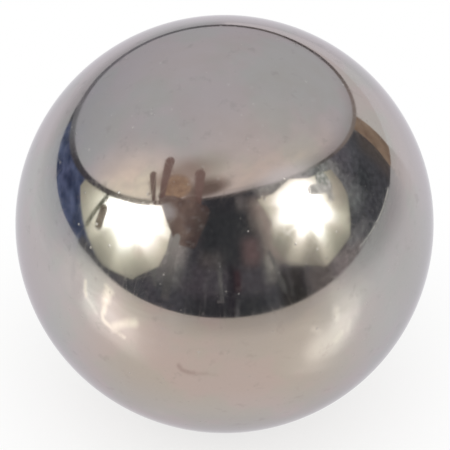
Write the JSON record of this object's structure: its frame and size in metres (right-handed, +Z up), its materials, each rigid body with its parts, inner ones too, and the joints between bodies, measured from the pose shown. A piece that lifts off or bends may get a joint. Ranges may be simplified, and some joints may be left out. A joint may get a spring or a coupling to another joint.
{
  "type": "steel ball",
  "caption": "Solid polished steel ball, a true sphere with a mirror-bright lapped surface and no hole, flat or seam.",
  "frame": {"origin": "centre of the ball", "axes": "+Z up through the centre, out of the side opposite the seat; +X and +Y are free choices, because the ball is the same in every direction"},
  "size_m": [0.0254, 0.0254, 0.0254],
  "materials": {
    "steel": "mirror polish from lapping, faintly warm, with a light haze of handling and fine lapping marks"
  },
  "bodies": {
    "root": {"ball": "steel"}
  },
  "joints": []
}
